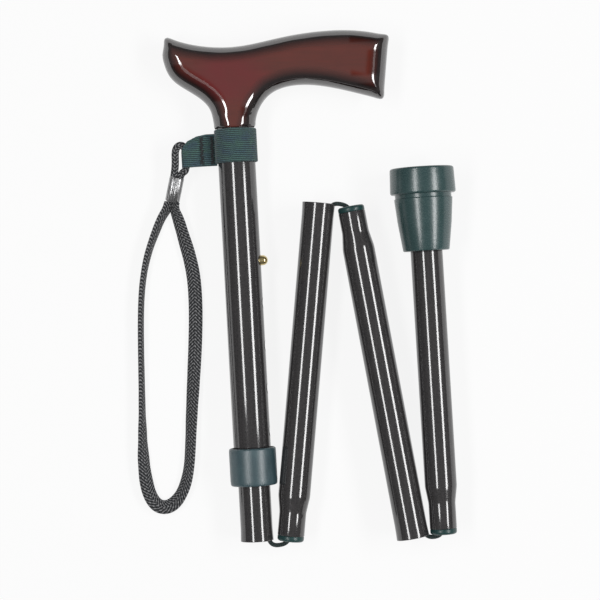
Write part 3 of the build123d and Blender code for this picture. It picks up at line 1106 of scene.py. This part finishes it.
@dataclass
class RubberTip:
    """The rubber tip, drawn from its tread towards the tube."""

    shop: Workshop
    tread: float = 18.9
    base: float = 19.5
    base_height: float = 15.6
    neck: float = 16.7
    neck_height: float = 2.6
    skirt: float = 17.3
    mouth: float = 13.7
    length: float = 49.4
    bore: float = 9.53
    floor: float = 8.0
    grooves: tuple[float, ...] = (5.0, 9.0, 13.0)

    def build(self) -> None:
        """Makes the tip."""
        tread: list[Pair] = [(0.0, 0.0)]
        for groove in self.grooves:
            tread += [
                (groove - 0.8, 0.0),
                (groove - 0.7, 1.4),
                (groove + 0.7, 1.4),
                (groove + 0.8, 0.0),
            ]
        profile = [
            *tread,
            (self.tread, 0.0),
            (self.base, self.base_height),
            (self.neck, self.base_height),
            (self.neck, self.base_height + self.neck_height),
            (self.skirt, self.base_height + self.neck_height),
            (self.skirt - 1.3, self.base_height + 17.0),
            (self.mouth, self.length),
            (self.bore, self.length),
            (self.bore, self.floor),
            (0.0, self.floor),
        ]
        bm = turned(profile, 144)
        soften(bm, 1.3, 5, lambda edge: self._ring(edge, 18.0, 20.0), 40)
        soften(bm, 0.7, 4, lambda edge: self._ring(edge, self.neck - 0.1, self.skirt + 0.1), 40)
        soften(bm, 1.0, 4, lambda edge: self._ring(edge, self.mouth - 0.2, self.mouth + 0.2), 40)
        self.shop.piece(
            "tip", bm, "section_4", "tip_rubber", ["rubber_tip"],
            Place.TREAD.matrix(self.shop.bundle), crease=28,
        )

    @staticmethod
    def _ring(edge: bmesh.types.BMEdge, low: float, high: float) -> bool:
        """Whether an edge runs round the tip between two radii."""
        radii = [math.hypot(vert.co.x, vert.co.z) for vert in edge.verts]
        level = abs(edge.verts[0].co.y - edge.verts[1].co.y) < 1e-4
        return level and all(low < radius < high for radius in radii)


@dataclass
class StrapBand:
    """The elastic band round the tube, its doubled tab and the bar tack that holds it."""

    shop: Workshop
    inner: float = 11.3
    thick: float = 1.3
    foot: float = 226.4
    top: float = 246.2
    tab_foot: float = 225.2
    tab_top: float = 244.2
    reach: float = 30.0
    tunnel: float = 2.3
    layer: float = 1.1
    corner: tuple[Pair, ...] = ((-33.6, 11.0), (-31.2, 6.4), (-28.2, 3.4), (-23.6, 1.0), (-18.0, 0.0))

    def build(self) -> None:
        """Makes the band, the tab and the stitches."""
        place = Place.TOP.matrix(self.shop.bundle)
        self.shop.piece("band_ring", self._ring(), "top", "band_fabric", ["strap_band"], place)
        self.shop.piece("band_tab", self._tab(), "top", "band_fabric", (), place, crease=50)
        self.shop.piece("band_stitches", self._stitches(), "top", "wrist_braid", (), place)

    def _ring(self) -> bmesh.types.BMesh:
        """The ring, its edges curled over a little."""
        outer = self.inner + self.thick
        profile = [
            (self.inner, self.foot + 0.4),
            (self.inner + 0.35, self.foot),
            (outer - 0.35, self.foot),
            (outer, self.foot + 0.5),
            (outer, self.top - 0.5),
            (outer - 0.35, self.top),
            (self.inner + 0.35, self.top),
            (self.inner, self.top - 0.4),
        ]
        return turned(profile, 128)

    def _tab(self) -> bmesh.types.BMesh:
        """The tab: one strip of webbing laid back on itself round the cord's tunnel."""
        half = self.layer / 2 + 0.08
        radius = self.tunnel + self.layer / 2
        bm = bmesh.new()
        line: list[tuple[float, float]] = [(-self.inner - 0.4, half), (-self.reach + 5.0, half)]
        for step in range(17):
            angle = math.radians(50 + step * (260 / 16))
            line.append((-self.reach + radius * math.cos(angle), radius * math.sin(angle)))
        line += [(-self.reach + 5.0, -half), (-self.inner - 0.4, -half)]
        verts = [bm.verts.new((u, self.tab_foot, up)) for u, up in line]
        edges = [bm.edges.new(pair) for pair in zip(verts, verts[1:])]
        for _ in range(12):
            grown = bmesh.ops.extrude_edge_only(bm, edges=edges)["geom"]
            moved = [item for item in grown if isinstance(item, bmesh.types.BMVert)]
            edges = [item for item in grown if isinstance(item, bmesh.types.BMEdge)]
            edges = [edge for edge in edges if all(vert in moved for vert in edge.verts)]
            bmesh.ops.translate(
                bm, verts=moved, vec=(0.0, (self.tab_top - self.tab_foot) / 12, 0.0)
            )
        bmesh.ops.subdivide_edges(
            bm,
            edges=[edge for edge in bm.edges if edge.calc_length() > 4.0],
            cuts=4,
            use_grid_fill=True,
        )
        for start, end in zip(self.corner, self.corner[1:]):
            self._trim(
                bm,
                (start[0], self.tab_top - start[1]),
                (end[0], self.tab_top - end[1]),
            )
        bmesh.ops.recalc_face_normals(bm, faces=bm.faces)
        bmesh.ops.solidify(bm, geom=bm.faces[:], thickness=self.layer)
        bmesh.ops.recalc_face_normals(bm, faces=bm.faces)
        return bm

    @staticmethod
    def _trim(bm: bmesh.types.BMesh, start: Pair, end: Pair) -> None:
        """Cuts off what lies above a slanted line across the tab."""
        slope = Vector((end[0] - start[0], end[1] - start[1], 0.0)).normalized()
        bmesh.ops.bisect_plane(
            bm,
            geom=bm.verts[:] + bm.edges[:] + bm.faces[:],
            plane_co=(start[0], start[1], 0.0),
            plane_no=(-slope.y, slope.x, 0.0),
            clear_outer=True,
        )

    def _stitches(self) -> bmesh.types.BMesh:
        """The bar tack: short threads laid close, in two rows down the tab."""
        bm = bmesh.new()
        for row, (u, count) in enumerate(((-20.4, 20), (-14.2, 22))):
            for step in range(count):
                v = self.tab_foot + 1.4 + step * (self.tab_top - self.tab_foot - 3.4) / (count - 1)
                tilt = Matrix.Rotation(math.radians(14 if (step + row) % 2 else -14), 4, "Z")
                stitch = Matrix.Translation((u, v, self.layer + 0.2)) @ tilt
                bmesh.ops.create_uvsphere(
                    bm,
                    u_segments=10,
                    v_segments=6,
                    radius=0.36,
                    matrix=stitch @ Matrix.Diagonal((3.6, 0.9, 0.55, 1.0)),
                )
        return bm


@dataclass
class Strand:
    """A cord laid along a route: a tube whose flat side turns as the cord twists."""

    shop: Workshop
    name: str
    route: Sequence[Vector]
    width: float
    thick: float
    lay: Sequence[float] = (0.0,)
    around: int = 20
    spacing: float = 1.0

    def line(self) -> list[Vector]:
        """The points that the cord follows, read from a smooth spline through its route."""
        curve = bpy.data.curves.new(f"{self.name}_route", "CURVE")
        curve.dimensions = "3D"
        curve.resolution_u = 14
        spline = curve.splines.new("NURBS")
        spline.points.add(len(self.route) - 1)
        for knot, place in zip(spline.points, self.route):
            knot.co = (*place, 1.0)
        spline.order_u = 3
        spline.use_endpoint_u = True
        holder = bpy.data.objects.new(curve.name, curve)
        bpy.context.scene.collection.objects.link(holder)
        bpy.context.view_layer.update()
        mesh = bpy.data.meshes.new_from_object(holder)
        points = [vert.co.copy() for vert in mesh.vertices]
        bpy.data.objects.remove(holder)
        bpy.data.meshes.remove(mesh)
        return self._even(points)

    def _even(self, points: list[Vector]) -> list[Vector]:
        """The same line, its points an even step apart."""
        total = sum((after - before).length for before, after in zip(points, points[1:]))
        count = max(8, round(total / (self.spacing * MM)))
        step, reached, wanted = total / count, 0.0, 0.0
        found: list[Vector] = []
        for before, after in zip(points, points[1:]):
            run = (after - before).length
            while run > 0 and wanted <= reached + run + 1e-9 and len(found) < count:
                found.append(before.lerp(after, (wanted - reached) / run))
                wanted += step
            reached += run
        return [*found, points[-1].copy()]

    def _turn(self, share: float) -> float:
        """The twist of the flat side at a share of the cord's length, in radians."""
        if len(self.lay) == 1:
            return math.radians(self.lay[0])
        place = share * (len(self.lay) - 1)
        index = min(int(place), len(self.lay) - 2)
        part = place - index
        part = part * part * (3 - 2 * part)
        return math.radians(self.lay[index] * (1 - part) + self.lay[index + 1] * part)

    def build(
        self, body: str, slot: str, replaces: Sequence[str]
    ) -> tuple[bpy.types.Object, list[Vector]]:
        """Makes the cord.

        Args:
            body: The body that it rides on.
            slot: Its finish.
            replaces: The node that it stands for.

        Returns:
            The piece and the points that it follows.
        """
        points = self.line()
        bm = bmesh.new()
        layer = bm.verts.layers.float_vector.new("braid")
        ring = bmesh.ops.create_circle(bm, cap_ends=False, segments=self.around, radius=1.0)["verts"]
        shape = [vert.co.copy() for vert in ring]
        travelled = 0.0
        loop = list(ring)
        for index, place in enumerate(points):
            ahead = points[min(index + 1, len(points) - 1)]
            behind = points[max(index - 1, 0)]
            forward = (ahead - behind).normalized()
            level = forward.cross(Vector((0.0, 0.0, 1.0)))
            level = level.normalized() if level.length > 0.05 else Vector((1.0, 0.0, 0.0))
            rise = level.cross(forward).normalized()
            turn = self._turn(index / (len(points) - 1))
            wide = level * math.cos(turn) + rise * math.sin(turn)
            tall = wide.cross(forward).normalized()
            if index:
                travelled += (place - points[index - 1]).length / MM
                loop = self._grown(bm, loop)
            for vert, unit in zip(loop, shape):
                side = math.copysign(abs(unit.x) ** 0.8, unit.x) * self.width / 2
                up = math.copysign(abs(unit.y) ** 0.8, unit.y) * self.thick / 2
                vert.co = place + (wide * side + tall * up) * MM
                vert[layer] = Vector((side, travelled, up))
        self._capped(bm)
        bmesh.ops.recalc_face_normals(bm, faces=bm.faces)
        made = self.shop.piece(self.name, bm, body, slot, replaces, crease=70)
        return made, points

    @staticmethod
    def _grown(bm: bmesh.types.BMesh, loop: list[bmesh.types.BMVert]) -> list[bmesh.types.BMVert]:
        """Extrudes the cord's open end by one ring.

        Args:
            bm: The mesh.
            loop: The end ring, in order.

        Returns:
            The new end ring, in the same order.
        """
        pairs = list(zip(loop, loop[1:] + loop[:1]))
        edges = [bm.edges.get(pair) for pair in pairs]
        grown = bmesh.ops.extrude_edge_only(bm, edges=edges)["geom"]
        fresh = {item for item in grown if isinstance(item, bmesh.types.BMVert)}
        following = []
        for vert in loop:
            partner = next(
                edge.other_vert(vert) for edge in vert.link_edges if edge.other_vert(vert) in fresh
            )
            following.append(partner)
        return following

    @staticmethod
    def _capped(bm: bmesh.types.BMesh) -> None:
        """Closes both ends of the cord."""
        bmesh.ops.holes_fill(bm, edges=[edge for edge in bm.edges if edge.is_boundary], sides=0)


@dataclass
class WristLoop:
    """The wrist cord, its crimp and the small eye through the tab's tunnel."""

    shop: Workshop
    foot: Triple = (-81.8, 53.1, 6.6)
    head: Triple = (-78.7, 67.8, 9.4)
    length: float = 15.1
    crimp_width: float = 8.8
    crimp_depth: float = 8.4
    flutes: int = 15
    width: float = 8.4
    thick: float = 3.3
    eye_width: float = 4.4
    eye_thick: float = 3.6
    route: tuple[Triple, ...] = (
        (-83.75, 52.8, 6.2),
        (-84.6, 48.9, 5.6),
        (-88.6, 43.0, 4.8),
        (-92.6, 33.0, 4.4),
        (-96.0, 23.5, 4.3),
        (-98.6, 12.5, 4.2),
        (-100.2, 0.0, 4.2),
        (-100.8, -15.0, 4.2),
        (-100.7, -35.0, 4.2),
        (-100.2, -57.0, 4.2),
        (-99.9, -78.0, 4.2),
        (-99.5, -97.0, 4.1),
        (-98.2, -112.0, 4.0),
        (-95.6, -123.0, 4.0),
        (-91.0, -129.6, 3.6),
        (-84.8, -130.6, 3.0),
        (-79.0, -126.6, 3.0),
        (-74.4, -118.4, 3.6),
        (-71.8, -107.0, 3.7),
        (-71.0, -93.0, 3.4),
        (-70.4, -75.0, 2.9),
        (-69.2, -53.0, 2.4),
        (-68.1, -30.0, 2.1),
        (-67.9, -9.0, 2.0),
        (-69.0, 7.5, 2.2),
        (-71.6, 20.0, 2.8),
        (-75.2, 32.0, 3.6),
        (-78.3, 42.6, 4.4),
        (-80.9, 49.2, 5.6),
        (-79.9, 52.9, 6.2),
    )
    lay: tuple[float, ...] = (
        60, 68, 76, 82, 84, 84, 84, 82, 78, 64, 42, 18, 12, 38, 46, 44, 36, 26, 16, 8, 6, 10, 18, 34, 58,
    )

    def frame_of(self) -> Matrix:
        """The crimp's own axes at its foot, in mm: Y along it."""
        axis = (Vector(self.head) - Vector(self.foot)).normalized()
        across = self.shop.bundle.axes()[0]
        side = (across - axis * across.dot(axis)).normalized()
        return Matrix.Translation(Vector(self.foot)) @ Matrix(
            (side, axis, side.cross(axis))
        ).transposed().to_4x4()

    def build(self) -> None:
        crimp = self._crimp()
        route = [Vector(place) * MM for place in self.route]
        loop, points = Strand(
            self.shop, "wrist_loop", route, self.width, self.thick, self.lay, 28, 0.9
        ).build("top", "wrist_braid", ["wrist_cord"])
        self.width * MM
        eye, points = Strand(
            self.shop, "eye_loop", self._eye_route(), self.eye_width, self.eye_thick, (0.0,), 20, 0.6
        ).build("top", "wrist_braid", ["cord_eye"])

    @staticmethod
    def _measured(points: Sequence[Vector]) -> float:
        """The length of a line of points."""
        return sum((after - before).length for before, after in zip(points, points[1:]))

    def _eye_route(self) -> list[Vector]:
        """The eye's route: out of the crimp's head, up through the tunnel and back."""
        frame_of = self.frame_of()
        bundle = self.shop.bundle
        along = bundle.axes()[1]
        across = bundle.axes()[0]
        foot = bundle.point(-30.0, 225.2) / MM
        top = bundle.point(-30.0, 235.7) / MM
        axis = frame_of.to_3x3() @ Vector((0.0, 1.0, 0.0))
        right = frame_of @ Vector((1.95, self.length + 0.03, 0.0))
        left = frame_of @ Vector((-1.95, self.length + 0.03, 0.0))
        route = [
            right,
            right + axis * 2.4,
            foot - along * 1.6,
            top + along * 3.2,
            top + along * 2.6 - across * 6.5,
            left + axis * 5.2,
            left,
        ]
        return [place * MM for place in route]

    def _crimp(self) -> bpy.types.Object:
        """The fluted sleeve."""
        bm = bmesh.new()
        count = self.flutes * 6
        ring = bmesh.ops.create_circle(bm, cap_ends=False, segments=count, radius=1.0)["verts"]
        for vert in ring:
            angle = math.atan2(vert.co.y, vert.co.x)
            ridge = abs(math.cos(angle * self.flutes / 2)) ** 0.7
            swell = 0.92 + 0.08 * ridge
            vert.co = Vector(
                (
                    vert.co.x * self.crimp_width / 2 * swell,
                    0.0,
                    vert.co.y * self.crimp_depth / 2 * swell,
                )
            )
        loop = list(ring)
        for rise, scale in ((0.0, 0.9), (0.5, 1.1), (14.1, 1.0), (0.5, 0.9)):
            if rise:
                loop = Strand._grown(bm, loop)
                bmesh.ops.translate(bm, verts=loop, vec=(0.0, rise, 0.0))
            bmesh.ops.scale(bm, verts=loop, vec=(scale, 1.0, scale))
        bmesh.ops.holes_fill(bm, edges=[edge for edge in bm.edges if edge.is_boundary], sides=0)
        bmesh.ops.recalc_face_normals(bm, faces=bm.faces)
        matrix = Matrix.Scale(MM, 4) @ self.frame_of()
        return self.shop.piece(
            "crimp_sleeve", bm, "top", "bright_crimp", ["cord_crimp"], matrix, crease=40
        )


@dataclass
class ElasticCord:
    """The elastic cord inside the sections and round the folds."""

    shop: Workshop
    diameter: float = 2.6
    hug: float = 6.65
    aside: float = 2.4
    rises: tuple[Pair, ...] = ((2.1, 2.0), (0.5, 0.8), (0.9, 1.2))

    def build(self) -> None:
        """Makes each stretch of the cord."""
        self._straight(1, "inner", Place.TOP, 52.0, 120.0)
        self._straight(2, "section_2", Place.SECOND, 20.0, 151.0)
        self._straight(3, "section_3", Place.THIRD, 20.0, 151.0)
        self._straight(4, "section_4", Place.LAST, 20.0, 200.6)
        self._fold(1, (0.0, 0.0), 180.0, Place.SECOND)
        self._fold(2, (47.4154, 199.726), 7.9, Place.THIRD)
        self._fold(3, (92.6026, -1.5388), 172.4, Place.LAST)

    def _straight(self, number: int, body: str, place: Place, low: float, high: float) -> None:
        """A stretch along a section's axis."""
        matrix = place.matrix(self.shop.bundle)
        count = 5
        route = [
            matrix @ Vector((0.0, low + (high - low) * step / (count - 1), 0.0))
            for step in range(count)
        ]
        Strand(
            self.shop, f"cord_run_{number}", route, self.diameter, self.diameter, (0.0,), 16, 4.0
        ).build(body, "elastic_cord", [f"shock_cord_{number}"])

    def _fold(self, number: int, mouth: Pair, heading: float, plug: Place) -> None:
        """The bend from inside one mouth into the next section's plug."""
        turn = math.radians(heading)
        beyond_mouth, beyond_plug = self.rises[number - 1]
        out = Vector((math.sin(turn), math.cos(turn)))
        side = Vector((abs(out.y), -out.x * math.copysign(1.0, out.y)))
        start = Vector(mouth)
        u, v, after = plug.value
        inward = Vector((math.sin(math.radians(after)), math.cos(math.radians(after))))
        end = Vector((u, v)) + inward * PLUG_INSETS[number + 1]
        flat = [
            start - out * 52.0,
            start - out * 44.0,
            start - out * 30.0 + side * self.hug,
            start - out * 12.0 + side * self.hug,
            start + out * beyond_mouth + side * self.hug,
            end - inward * beyond_plug - side * self.aside,
            end + inward * 4.0,
            end + inward * 20.0,
        ]
        route = [self.shop.bundle.point(place.x, place.y) for place in flat]
        Strand(
            self.shop, f"cord_bend_{number}", route, self.diameter, self.diameter, (0.0,), 20, 0.5
        ).build(f"swing_{number}", "elastic_cord", [f"fold_cord_{number}"])


@dataclass
class Studio:
    """The camera, the lamps, the floor and the world."""

    bundle: Bundle
    height: float = 1.323
    centre: Pair = (-5.36, -5.95)
    field_of_view: float = 15.53
    floor_size: float = 6.0

    def camera(self) -> None:
        """Looks straight down on the cane."""
        data = bpy.data.cameras.new("camera")
        data.sensor_fit = "HORIZONTAL"
        data.angle = math.radians(self.field_of_view)
        data.clip_start = 0.05
        made = bpy.data.objects.new("camera", data)
        made.location = (self.centre[0] * MM, self.centre[1] * MM, self.height)
        bpy.context.scene.collection.objects.link(made)
        bpy.context.scene.camera = made

    def lamp(self, name: str, angle: float, distance: float, size: Pair, power: float) -> None:
        """A strip lamp that runs along the tubes.

        Args:
            name: Its name.
            angle: Degrees from straight up, to the right.
            distance: Its distance in metres.
            size: Its width across the tubes and length along them, in metres.
            power: Its power in watts.
        """
        data = bpy.data.lights.new(name, "AREA")
        data.shape = "RECTANGLE"
        data.size, data.size_y = size
        data.energy = power
        made = bpy.data.objects.new(name, data)
        turn = math.radians(angle)
        made.location = (math.sin(turn) * distance, 0.0, math.cos(turn) * distance)
        made.rotation_euler = (0.0, turn, 0.0)
        bpy.context.scene.collection.objects.link(made)

    def lamps(self) -> None:
        """The two strips that draw the streaks on the tubes."""
        self.lamp("left_strip", -26.0, 1.6, (0.27, 1.2), 11.2)
        self.lamp("right_strip", 42.5, 1.6, (0.32, 1.2), 14.2)

    def floor(self) -> None:
        """A pale floor that stays white to the camera but keeps the shadow."""
        bm = bmesh.new()
        bmesh.ops.create_grid(bm, x_segments=2, y_segments=2, size=self.floor_size / 2)
        mesh = bpy.data.meshes.new("floor")
        bm.to_mesh(mesh)
        bm.free()
        made = bpy.data.objects.new("floor", mesh)
        made.location.z = -0.0002
        bpy.context.scene.collection.objects.link(made)
        material = bpy.data.materials.new("pale_floor")
        material.use_nodes = True
        tree = material.node_tree
        shader = tree.nodes["Principled BSDF"]
        shader.inputs["Base Color"].default_value = (0.86, 0.86, 0.86, 1.0)
        shader.inputs["Roughness"].default_value = 0.9
        shader.inputs["Specular IOR Level"].default_value = 0.1
        light = tree.nodes.new("ShaderNodeEmission")
        light.inputs["Strength"].default_value = 1.0
        mixed = tree.nodes.new("ShaderNodeMixShader")
        seen = self._seen(tree, 0.88)
        tree.links.new(seen, mixed.inputs[0])
        tree.links.new(shader.outputs[0], mixed.inputs[1])
        tree.links.new(light.outputs[0], mixed.inputs[2])
        tree.links.new(mixed.outputs[0], tree.nodes["Material Output"].inputs["Surface"])
        made.data.materials.append(material)

    @staticmethod
    def _seen(tree: bpy.types.NodeTree, share: float) -> bpy.types.NodeSocket:
        """A factor that is the share for camera, glossy and transmission rays, or else 0."""
        path = tree.nodes.new("ShaderNodeLightPath")
        total = path.outputs["Is Camera Ray"]
        for name in ("Is Glossy Ray", "Is Transmission Ray"):
            added = tree.nodes.new("ShaderNodeMath")
            added.operation = "MAXIMUM"
            tree.links.new(total, added.inputs[0])
            tree.links.new(path.outputs[name], added.inputs[1])
            total = added.outputs[0]
        scaled = tree.nodes.new("ShaderNodeMath")
        scaled.operation = "MULTIPLY"
        scaled.inputs[1].default_value = share
        tree.links.new(total, scaled.inputs[0])
        return scaled.outputs[0]

    def world(self) -> None:
        """A soft grey dome that turns white near the horizon and to the camera."""
        world = bpy.data.worlds.new("studio")
        world.use_nodes = True
        bpy.context.scene.world = world
        tree = world.node_tree
        path = tree.nodes.new("ShaderNodeLightPath")
        place = tree.nodes.new("ShaderNodeTexCoord")
        split = tree.nodes.new("ShaderNodeSeparateXYZ")
        tree.links.new(place.outputs["Generated"], split.inputs[0])
        ramp = tree.nodes.new("ShaderNodeValToRGB")
        stops = ((0.0, 1.0), (0.02, 1.0), (0.06, 0.12), (0.3, 0.12), (1.0, 0.21))
        while len(ramp.color_ramp.elements) < len(stops):
            ramp.color_ramp.elements.new(1.0)
        for element, (height, level) in zip(ramp.color_ramp.elements, stops):
            element.position = height
            element.color = (level, level, level, 1.0)
        tree.links.new(split.outputs["Z"], ramp.inputs[0])
        mixed = tree.nodes.new("ShaderNodeMix")
        mixed.data_type = "RGBA"
        tree.links.new(path.outputs["Is Camera Ray"], mixed.inputs["Factor"])
        tree.links.new(ramp.outputs[0], mixed.inputs[6])
        mixed.inputs[7].default_value = (1.0, 1.0, 1.0, 1.0)
        background = tree.nodes["Background"]
        tree.links.new(mixed.outputs[2], background.inputs["Color"])
        background.inputs["Strength"].default_value = 1.0

    def build(self) -> None:
        """Sets up the studio."""
        self.lamps()
        self.floor()
        self.world()
        bpy.context.scene.view_settings.view_transform = "Standard"


PLUG_INSETS = {2: 1.3, 3: 3.0, 4: 0.0}

INNER_FINISHES = {
    "button_spring": "spring_steel",
    "guide_bush": "bush_plastic",
    "collet_bush": "bush_plastic",
    "wedge_ring": "bush_plastic",
    "cord_anchor_top": "plug_plastic",
    "cord_anchor_end": "plug_plastic",
    "tip_washer": "spring_steel",
}


def main(nodes: dict[str, bpy.types.Object]) -> None:
    """Builds the cane's looks and the studio.

    Args:
        nodes: The frame's nodes.
    """
    logging.basicConfig(level=logging.INFO, format="%(message)s")
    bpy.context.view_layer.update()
    bundle = Bundle()
    studio = Studio(bundle)
    studio.camera()
    shop = Workshop(bundle, Paintbox(bundle), nodes)
    WristLoop(shop).build()
    ElasticCord(shop).build()
    Handle(shop).build()
    TopTube(shop).build()
    tubes = (
        LowerTube(shop, "inner_tube_wall", "inner_tube", "inner", Place.TOP, 197.0, True, False, mouth_inset=1.2),
        LowerTube(shop, "second_tube_wall", "section_2_tube", "section_2", Place.SECOND, 203.0, True, True, inset=PLUG_INSETS[2]),
        LowerTube(shop, "third_tube_wall", "section_3_tube", "section_3", Place.THIRD, 203.0, True, True, inset=PLUG_INSETS[3]),
        LowerTube(shop, "last_tube_wall", "section_4_tube", "section_4", Place.LAST, 208.0, False, True),
    )
    for tube in tubes:
        tube.build()
    for number, place in ((2, Place.SECOND), (3, Place.THIRD), (4, Place.LAST)):
        Plug(shop, number, place).build()
    LockCollar(shop).build()
    RubberTip(shop).build()
    StrapBand(shop).build()
    for name, slot in INNER_FINISHES.items():
        shop.paint_node(name, slot)
    studio.build()


if __name__ == "__main__":
    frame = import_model()
    main(frame["nodes"])
